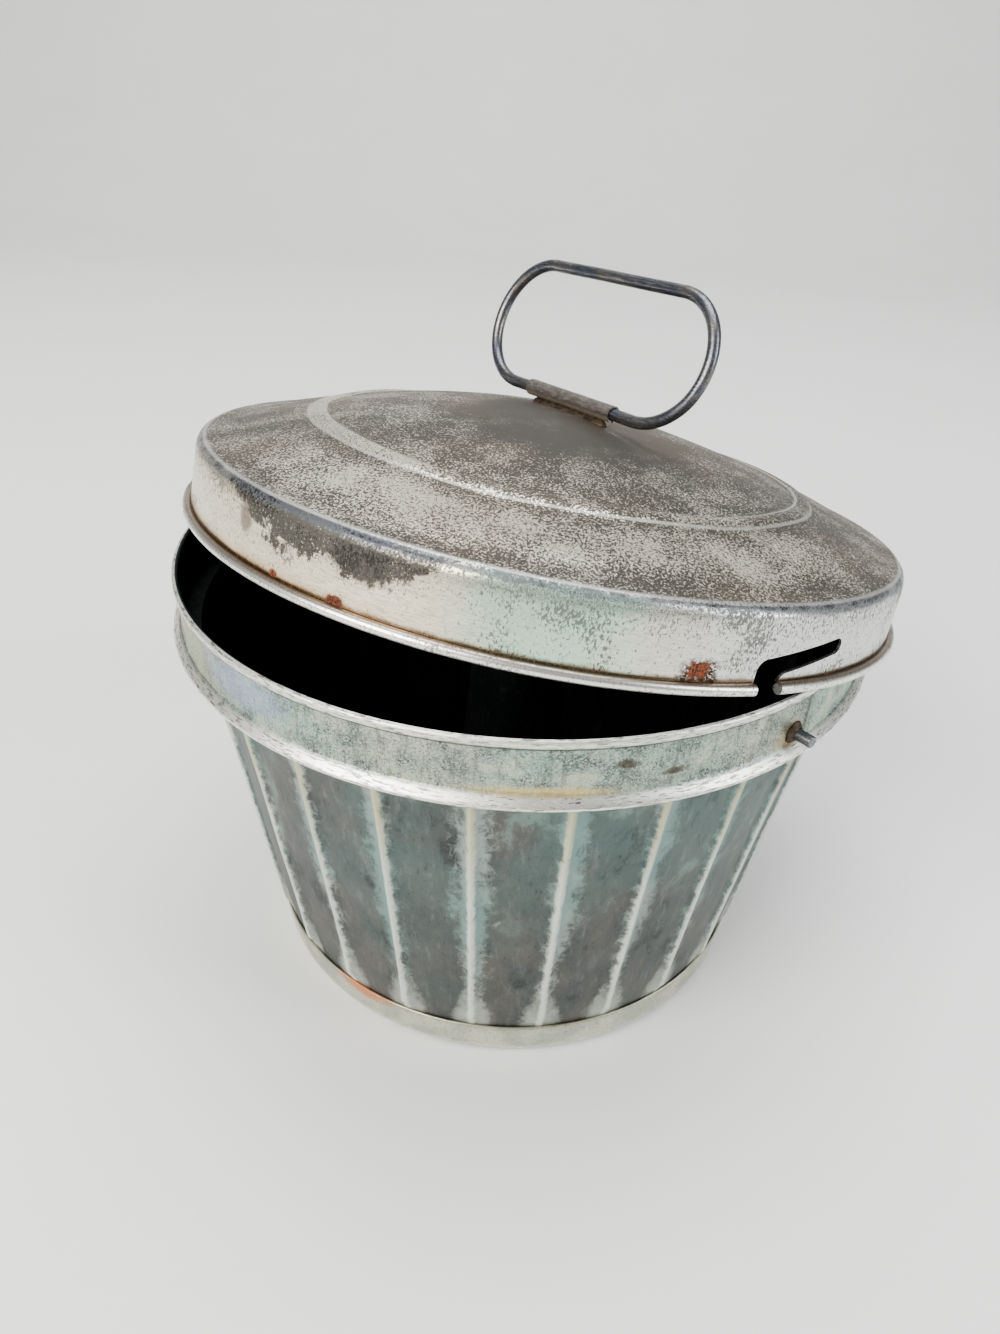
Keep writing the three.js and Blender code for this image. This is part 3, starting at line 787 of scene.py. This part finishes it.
def make_tube():
    foot_z = PANEL_Z + SHEET + GAP
    shank = between((TUBE_FOOT_R + SHEET, foot_z + SHEET + 0.4), (TUBE_TOP_R, TUBE_TOP_Z), 12)
    outside = [(TUBE_FOOT_R + TUBE_FLANGE, z) for z in (foot_z, foot_z + SHEET)]
    outside += [(TUBE_FOOT_R + SHEET + 0.5, foot_z + SHEET)] + shank
    inside = between((TUBE_TOP_R - SHEET, TUBE_TOP_Z), (TUBE_FOOT_R, foot_z), 8)
    tube = turned("steam_tube", outside, inside, 96, (INSIDE_TIN_AND_SHADE, INSIDE_TIN_AND_SHADE), POT)
    finished(tube, "pot", "tube_tin", "centre_tube")
    cap_z = TUBE_TOP_Z + GAP
    crown = [(TUBE_TOP_R + 0.4, cap_z), (TUBE_TOP_R + 0.4, cap_z + 0.2)]
    rise = 1.2
    quarter = [t / 10 * math.pi / 2 for t in range(11)]
    crown += [(TUBE_TOP_R * math.cos(t), cap_z + 0.4 + rise * math.sin(t)) for t in quarter]
    cap = turned("steam_tube_cap", crown, [(0, cap_z)], 96, (INSIDE_TIN_AND_SHADE, INSIDE_TIN_AND_SHADE), POT)
    finished(cap, "pot", "tube_tin", "tube_cap")


def make_collar():
    out = MOUTH_R + SHEET
    low = SEAM_Z + LEDGE_TALL
    lip = SEAM_R - 2.8
    hem = (out + HEM_OUT - 0.75, RIM_Z - 0.8)
    outside = [(lip, SEAM_Z + 0.5), (lip, SEAM_Z + 0.1), (lip + 0.3, SEAM_Z)]
    outside += [(SEAM_R - 1.0, SEAM_Z)] + arc((SEAM_R - 0.9, SEAM_Z + 0.9), 0.9, -80, 0, 6)
    outside += [(SEAM_R - 0.12, low - 2.0), (SEAM_R - 0.6, low - 1.5), (out + 0.7, low - 0.6)]
    outside += [(out + 0.15, low - 0.1), (out, low + 0.6)]
    outside += between((out, low + 1.5), (out, RIM_Z - HEM_TALL - 0.25), 8)
    outside += [(out + 0.15, RIM_Z - HEM_TALL - 0.1), (out + 0.45, RIM_Z - HEM_TALL)]
    outside += arc((hem[0], RIM_Z - HEM_TALL + 0.6), 0.75, -55, 0, 4)
    outside += arc(hem, 0.75, 0, 90, 6)
    inside = arc((MOUTH_R + 0.75, RIM_Z - 0.75), 0.75, 95, 180, 5)
    inside += between((MOUTH_R, RIM_Z - 2), (MOUTH_R, low + 0.6), 8)
    inside += [(MOUTH_R - 0.2, SEAM_Z + 3.0), (MOUTH_R + 0.6, SEAM_Z + 2.25)]
    inside += [(SEAM_R - SHEET - 0.35, SEAM_Z + 2.0), (SEAM_R - SHEET - 0.35, SEAM_Z + 0.65)]

    def shape(r, z, bearing):
        past = math.degrees(bearing) - LAP_BEARING
        past -= 360 * round(past / 360)
        lap = 0.28 * smooth_step(past, -0.25, 0.0) * (1 - smooth_step(past, 1.5, 9))
        band = smooth_step(z, low - 1, low + 1) * (1 - smooth_step(z, RIM_Z - 2.2, RIM_Z - 1.8))
        x, y = r * math.cos(bearing), r * math.sin(bearing)
        wobble = 0.1 * sway(x, y, z, 14, 5) * band
        return r + (lap if r > MOUTH_R + 0.3 else 0) * band + wobble, z, bearing

    collar = turned("collar_band", outside, inside, 720, (COLLAR_TIN, INSIDE_TIN_AND_SHADE), POT, shape)
    return finished(collar, "pot", "collar_tin", "collar")


def make_pin(bearing, end):
    root_r = MOUTH_R + SHEET + GAP
    turn = math.radians(bearing)
    out = Vector((math.cos(turn), math.sin(turn), 0))
    home = POT @ Matrix.Translation((out * root_r + UP * PIN_Z) * MM)
    home = home @ UP.rotation_difference(out).to_matrix().to_4x4()
    long = PIN_END_R - root_r
    rim = arc((PIN_R - 0.25, long - 0.25), 0.25, 0, 90, 4)
    outside = [(PIN_R, 0)] + between((PIN_R, 0.4), (PIN_R, long - 0.4), 8) + rim
    outside += [(0.5, long - 0.06), (0.0, long - 0.08)]
    pin = turned(f"pin_{end}_wire", outside, [(0, 0)], 40, (STEEL_WIRE, STEEL_WIRE), home)
    finished(pin, "pot", "steel_wire", f"pin_{end}")
    bore = PIN_R + 0.1

    def lumpy(r, z, around):
        swell = 1 + 0.35 * sway(3 * math.cos(around), 3 * math.sin(around), z, 2, 7 + bearing)
        return bore + (r - bore) * swell, z * swell, around

    fillet = [(bore, -0.2), (bore + 1.0, -0.2), (bore + 0.75, 0.15), (bore + 0.3, 0.4), (bore, 0.8)]
    bead = turned(f"pin_{end}_solder", fillet, [(bore, 0.3)], 32, (SOLDER, SOLDER), home, lumpy)
    finished(bead, "pot", "solder", f"pin_solder_{end}")


# ---- The lid ----

def dome_z(r):
    return SKIRT_TALL + (DOME_TOP - SKIRT_TALL) * (1 - (r / SHOULDER_R) ** DOME_POWER)


def ring_out(r):
    """The raised ring, with a shallow groove on both sides of it."""
    away = (r - RING_R) / RING_HALF
    groove = 0.12 * math.exp(-((abs(away) - 1.6) / 0.5) ** 2)
    return RING_OUT / (1 + abs(away) ** 5) * smooth_step(abs(away), 2.2, 1.0) - groove


def lid_outlines():
    corner = SKIRT_R - 0.4 - SHOULDER_ROUND
    low = 2 * EDGE_WIRE_R - 0.25
    drawn_in = 0.35
    outside = between((SKIRT_R, low), (SKIRT_R - drawn_in, SKIRT_TALL - SHOULDER_ROUND - 0.4), 10)
    outside += arc((corner, SKIRT_TALL - SHOULDER_ROUND), SHOULDER_ROUND, 0, 78, 10)
    step = 0.78
    radii = [SHOULDER_R - 1.2 - step * i for i in range(int((SHOULDER_R - 2) / step) + 1)]
    outside += [(r, dome_z(r) + ring_out(r)) for r in radii] + [(0, DOME_TOP)]
    inside = [(0, DOME_TOP - SHEET)]
    inside += [(r, dome_z(r) + ring_out(r) - SHEET) for r in reversed(radii[::2])]
    inside += arc((corner, SKIRT_TALL - SHOULDER_ROUND), SHOULDER_ROUND - SHEET, 72, 0, 6)
    neck = (SKIRT_R - SHEET - drawn_in, SKIRT_TALL - SHOULDER_ROUND - 0.6)
    inside += between(neck, (SKIRT_R - SHEET, low), 6)
    return outside, inside


def lid_shape(r, z, bearing):
    """Years of use have left the dome gently dented and the skirt a little out of true."""
    x, y = r * math.cos(bearing), r * math.sin(bearing)
    hollow = (1 - smooth_step(r, 76, 82)) * smooth_step(r, 20, 34)
    dent = 0.55 * sway(x, y, 0, 30, 11) * hollow
    skirt = smooth_step(z, 4, 8) * (1 - smooth_step(z, 14, 17))
    return r + 0.12 * sway(x, y, z, 20, 13) * skirt, z + dent, bearing


def slot_outline():
    """Seen from outside, X along the skirt from the middle of the mouth: in, up and along a channel."""
    half = SLOT_WIDE / 2
    below = -3
    points = [(half, below), (half, 1.6)] + arc((5.6, 1.6), 2.6, 180, 101, 6)
    points += [(18, 6.75)] + arc((18.2, 8.5), 1.75, -75, 80, 8)
    points += [(-0.2, 7.2)] + arc((-0.2, 4.4), 2.8, 100, 180, 6) + [(-half, below)]
    return points


def slot_cutter(bearing):
    """The slot's outline as a block that reaches through the skirt."""
    outline = slot_outline()
    turn = math.radians(bearing)
    out = Vector((math.cos(turn), math.sin(turn), 0))
    along = Vector((-math.sin(turn), math.cos(turn), 0))
    points = [out * r + along * x + UP * z for r in (SKIRT_R - 6, SKIRT_R + 6) for x, z in outline]
    count = len(outline)
    faces = [tuple(range(count)), tuple(range(2 * count - 1, count - 1, -1))]
    faces += [(i, (i + 1) % count, (i + 1) % count + count, i + count) for i in range(count)]
    return settle("slot_cutter", points, faces, [0] * len(faces), (LID_TIN,), LID)


def cut_slots(lid):
    for bearing in (SLOT_BEARING, SLOT_BEARING + 180):
        cutter = slot_cutter(bearing)
        cut = lid.modifiers.new("slot", "BOOLEAN")
        cut.object = cutter
        bpy.context.view_layer.update()
        whole = lid.evaluated_get(bpy.context.evaluated_depsgraph_get())
        mesh = bpy.data.meshes.new_from_object(whole)
        lid.modifiers.clear()
        lid.data = mesh
        bpy.data.objects.remove(cutter)
    lid.data.set_sharp_from_angle(angle=CREASE)


def make_lid():
    outside, inside = lid_outlines()
    lid = turned("lid_sheet", outside, inside, 360, (LID_TIN, INSIDE_TIN_AND_SHADE), LID, lid_shape)
    cut_slots(lid)
    return finished(lid, "lid", "lid_tin", "lid_shell")


def edge_section():
    """The sheet rolled round its wire, its raw edge a small step beside the skirt."""
    roll = arc((0, 0), EDGE_WIRE_R, -180, 118, 22)
    tuck = arc((0, 0), EDGE_WIRE_R - 0.16, 122, 170, 4)
    return roll + tuck


def make_wired_edge():
    half = (SLOT_WIDE / 2 + 0.1) / LID_EDGE_R
    r = LID_EDGE_R - EDGE_WIRE_R
    steps = 150
    for end, first in (("a", SLOT_BEARING), ("b", SLOT_BEARING + 180)):
        start = math.radians(first) + half
        sweep = math.pi - 2 * half
        spine = []
        for i in range(steps + 1):
            turn = start + sweep * i / steps
            out = Vector((math.cos(turn), math.sin(turn), 0))
            lift = 0.05 * sway(out.x * r, out.y * r, 0, 9, 17)
            spine.append((out * r + UP * (EDGE_WIRE_R + lift), out, UP))
        edge = swept(f"wired_edge_{end}", spine, edge_section(), (EDGE_TIN,), LID)
        finished(edge, "lid", "edge_tin", f"edge_wire_{end}")


def make_sleeve():
    """A strip of sheet rolled round the wire, its two edges almost meeting underneath."""
    half = SLEEVE_LONG / 2
    slit = 14
    ring = arc((0, 0), SLEEVE_R, -90 + slit, 270 - slit, 40)
    ring += arc((0, 0), SLEEVE_BORE, 270 - slit, -90 + slit, 32)
    spine = []
    for i in range(41):
        x = -half + SLEEVE_LONG * i / 40
        spine.append((Vector((x, 0, 0)), Vector((0, 1, 0)), UP))
    sleeve = swept("handle_sleeve_roll", spine, ring, (SLEEVE_TIN,), HANDLE)
    return finished(sleeve, "lid", "base_tin", "handle_sleeve")


def make_sleeve_solder():
    """A low bank of solder under the sleeve, run out thin at both ends; its dark brown also serves as
    painted shade under the sleeve.
    """
    drop = (HANDLE.translation - LID.translation).dot(LID.to_3x3() @ UP) / MM
    half = SLEEVE_LONG / 2
    reach = half - 1.6
    across = 14
    points = []
    steps = 60
    for i in range(steps + 1):
        x = -reach + 2 * reach * i / steps
        spread = math.sqrt(max(1 - (abs(x) / reach) ** 4, 0.02))
        bed = dome_z(abs(x)) - drop
        crest = bed + (-SLEEVE_R * 0.55 - bed) * spread
        wide = (2.0 + 0.4 * sway(x, 0, 0, 5, 19)) * spread
        for j in range(across + 1):
            side = -1 + 2 * j / across
            y = side * wide
            floor = dome_z(math.hypot(x, y)) - drop + 0.04
            lift = (crest - floor) * (1 - abs(side) ** 1.6) * (1 + 0.1 * sway(x, y, 0, 2, 23))
            points.append((x, y, floor + max(lift, 0.02)))
    row = across + 1
    faces = [(i * row + j, i * row + j + 1, (i + 1) * row + j + 1, (i + 1) * row + j)
             for i in range(steps) for j in range(across)]
    top = len(points)
    points += [(x, y, dome_z(math.hypot(x, y)) - drop - 0.1) for x, y, _ in points]
    faces += [tuple(top + k for k in reversed(face)) for face in faces]
    rim = [j for j in range(row)] + [(i + 1) * row + across for i in range(steps)]
    rim += [steps * row + j for j in reversed(range(across))] + [i * row for i in reversed(range(1, steps))]
    count = len(rim)
    for k in range(count):
        after = rim[(k + 1) % count]
        faces.append((rim[k], after, after + top, rim[k] + top))
    bank = settle("sleeve_solder_bank", points, faces, [0] * len(faces), (SOLDER,), HANDLE)
    return finished(bank, "lid", "solder", "sleeve_solder")


# ---- The handle ----

def loop_point(travel):
    """A place on the oval loop's centre line and the way out of it, from the split in the sleeve."""
    half = LOOP_STRAIGHT / 2
    bend = math.pi * LOOP_R
    if travel < half:
        return (travel, 0), (0, -1)
    travel -= half
    if travel < bend:
        turn = travel / LOOP_R
        place = (half + LOOP_R * math.sin(turn), LOOP_R * (1 - math.cos(turn)))
        return place, (math.sin(turn), -math.cos(turn))
    travel -= bend
    if travel < LOOP_STRAIGHT:
        return (half - travel, 2 * LOOP_R), (0, 1)
    travel -= LOOP_STRAIGHT
    if travel < bend:
        turn = travel / LOOP_R
        place = (-half - LOOP_R * math.sin(turn), LOOP_R * (1 + math.cos(turn)))
        return place, (-math.sin(turn), math.cos(turn))
    return (-half + (travel - bend), 0), (0, -1)


def make_loop():
    slit = 0.6
    total = 2 * LOOP_STRAIGHT + 2 * math.pi * LOOP_R
    steps = 260
    lean = Matrix.Rotation(math.radians(-LOOP_LEAN), 3, "X")
    spine = []
    for i in range(steps + 1):
        (x, z), (out_x, out_z) = loop_point(slit + (total - 2 * slit) * i / steps)
        hand = 0.12 * sway(x, 0, z, 13, 29) * smooth_step(z, 1, 8)
        place = lean @ Vector((x + out_x * hand, 0.6 * hand, z + out_z * hand))
        spine.append((place, lean @ Vector((0, 1, 0)), lean @ Vector((out_x, 0, out_z))))
    section = arc((0, 0), LOOP_WIRE_R, 0, 345, 23)
    loop = swept("handle_loop", spine, section, (STEEL_WIRE,), HANDLE)
    return finished(loop, "handle", "steel_wire", "handle_wire")


set_camera()
sweep_floor()
light_room()

LID_TIN = lid_tin()
EDGE_TIN = edge_tin()
COLLAR_TIN = collar_tin()
WALL_TIN = wall_tin()
BASE_TIN = base_tin()
INSIDE_TIN_AND_SHADE = inside_tin_and_shade()
SLEEVE_TIN = sleeve_tin()
SOLDER = solder()
STEEL_WIRE = steel_wire()

make_wall()
make_base_cap()
make_tube()
make_collar()
make_pin(PIN_BEARING, "front")
make_pin(PIN_BEARING + 180, "back")
make_lid()
make_wired_edge()
make_sleeve()
make_sleeve_solder()
make_loop()

corners = [[list(corner) for corner in box] for box in (CAD_BOX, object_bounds())]
